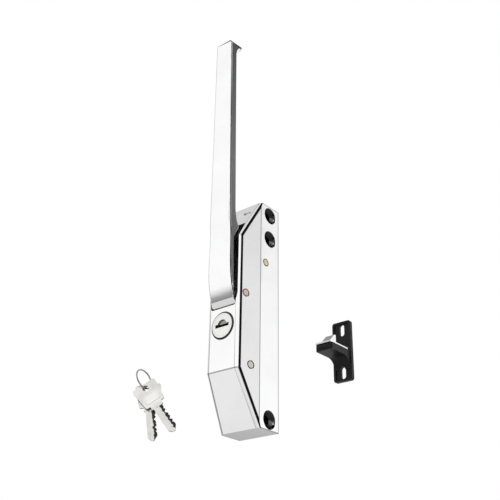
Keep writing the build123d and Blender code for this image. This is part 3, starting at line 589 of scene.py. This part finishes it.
def make_card():
    """Dark card beside the handle, seen only in gloss."""
    beside, front, back, low, high = 0.120, 0.0540, 0.0925, 0.08, 0.38
    card = quad("dark_card", [
        (beside, front, low), (beside, back, low), (beside, back, high), (beside, front, high)])
    card.visible_camera = card.visible_diffuse = card.visible_shadow = False
    card.visible_transmission = False
    material, tree, _ = new_material("dark_card")
    rise = spread(tree, axes(tree)["Z"], 0.0, 1.0, low, high)
    glow = node(tree, "ShaderNodeEmission", Strength=1.0)
    tree.links.new(ramp(tree, rise, [(0.0, 0.14), (0.4, 0.19), (1.0, 0.08)]), glow.inputs["Color"])
    tree.links.new(glow.outputs["Emission"], tree.nodes["Material Output"].inputs["Surface"])
    card.data.materials.append(material)


def make_floor():
    """Pale floor under the latch, seen from above only; the camera sees it white with soft shadows."""
    half, drop, camera_glow = 3.0, 0.002, 0.45
    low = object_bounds()[0][2] - drop
    floor = quad("floor", [(-half, -half, low), (half, -half, low), (half, half, low), (-half, half, low)])
    floor.visible_glossy = floor.visible_shadow = False
    material, tree, shader = new_material("pale_floor")
    tree.links.new(ramp(tree, noise(tree, 6.0), [(0.3, 0.84), (0.7, 0.88)]), shader.inputs["Base Color"])
    shader.inputs["Roughness"].default_value = 0.9
    path = node(tree, "ShaderNodeLightPath")
    glow = node(tree, "ShaderNodeEmission", Color=(1, 1, 1, 1))
    tree.links.new(product(tree, path.outputs["Is Camera Ray"], camera_glow), glow.inputs["Strength"])
    both = node(tree, "ShaderNodeAddShader")
    tree.links.new(shader.outputs["BSDF"], both.inputs[0])
    tree.links.new(glow.outputs["Emission"], both.inputs[1])
    clear = node(tree, "ShaderNodeBsdfTransparent")
    side = node(tree, "ShaderNodeNewGeometry")
    blend = shader_mix(tree, side.outputs["Backfacing"], both.outputs["Shader"], clear.outputs["BSDF"])
    tree.links.new(blend, tree.nodes["Material Output"].inputs["Surface"])
    floor.data.materials.append(material)


def by_height(tree, fac, stops):
    """Grey ramp over the height of a direction; each stop is (degrees above the horizon, level)."""
    return ramp(tree, fac, [((sin(radians(angle)) + 1) / 2, level) for angle, level in stops])


def by_turn(tree, fac, stops):
    """Grey ramp round the horizon; each stop is (degrees from the front towards the right, level)."""
    return ramp(tree, fac, [(0.5 + angle / 360, level) for angle, level in stops])


def studio_levels(tree):
    """Grey level of the studio's walls by azimuth and height, as gloss sees them.

    The azimuth runs from the front towards the right. A black flag stands to the right with sharp
    sides, and a darker band lies just below the horizon in front.
    """
    place = node(tree, "ShaderNodeTexCoord")
    split = node(tree, "ShaderNodeSeparateXYZ")
    tree.links.new(place.outputs["Generated"], split.inputs["Vector"])
    ahead = product(tree, split.outputs["Y"], -1.0)
    around = spread(tree, calc(tree, "ARCTAN2", split.outputs["X"], ahead), 0.0, 1.0, -pi, pi)
    height = spread(tree, split.outputs["Z"], 0.0, 1.0, -1.0, 1.0)
    front = by_height(tree, height, [
        (-90, 0.85), (-43, 0.70), (-34, 0.70), (-31, 0.76), (-28, 0.86), (-22, 0.86),
        (-18, 0.70), (-14, 0.50), (-10, 0.26), (-6, 0.45), (-1, 0.80), (4, 1.0),
        (15, 1.03), (40, 1.02), (54, 0.95), (90, 0.75)])
    back = by_height(tree, height, [
        (-90, 0.85), (-10, 0.70), (0, 0.70), (15, 1.05), (30, 0.92), (45, 0.85), (90, 0.80)])
    sector = by_turn(tree, around, [(-180, 0.0), (112, 0.0), (117, 1.0), (165, 1.0), (180, 0.0)])
    turns = by_turn(tree, around, [
        (-180, 0.95), (-140, 0.95), (-110, 0.70), (-72, 0.72), (-64, 0.36), (-53, 0.36),
        (-50, 1.0), (-35.5, 1.0), (-33.5, 0.25), (-28.5, 0.25), (-26, 1.0), (55, 1.0),
        (113, 0.80), (128, 0.86), (138, 1.0), (180, 0.95)])
    lit = product(tree, mix(tree, sector, front, back), turns)
    flag_turn = by_turn(tree, around, [
        (-180, 0.0), (59, 0.0), (61, 1.0), (113, 1.0), (115, 0.0), (180, 0.0)])
    flag_height = by_height(tree, height, [
        (-90, 0.0), (-28, 0.0), (-24, 1.0), (72, 1.0), (80, 0.0), (90, 0.0)])
    return mix(tree, product(tree, flag_turn, flag_height), lit, (0.006, 0.006, 0.006))


def make_world():
    """World that is white for the camera, a studio for gloss and a plain pale room for the rest."""
    world = bpy.data.worlds.new("studio")
    scene.world = world
    world.use_nodes = True
    tree = world.node_tree
    tree.nodes.clear()
    path = node(tree, "ShaderNodeLightPath")
    studio = node(tree, "ShaderNodeBackground", Strength=1.12)
    tree.links.new(studio_levels(tree), studio.inputs["Color"])
    room = node(tree, "ShaderNodeBackground", Color=(0.9, 0.9, 0.9, 1), Strength=0.55)
    white = node(tree, "ShaderNodeBackground", Color=(1, 1, 1, 1), Strength=1.0)
    seen = [background.outputs["Background"] for background in (room, studio, white)]
    blend = shader_mix(tree, path.outputs["Is Glossy Ray"], seen[0], seen[1])
    blend = shader_mix(tree, path.outputs["Is Camera Ray"], blend, seen[2])
    out = node(tree, "ShaderNodeOutputWorld")
    tree.links.new(blend, out.inputs["Surface"])


make_camera()
make_materials()
make_world()
make_card()
make_floor()
light_target = (0.0, 0.0, 0.05)
area_light("key", (0.9, -0.9, 0.9), light_target, (0.8, 0.8), 6.0)
area_light("fill", (-0.9, -0.8, 0.2), light_target, (0.9, 0.9), 3.0)
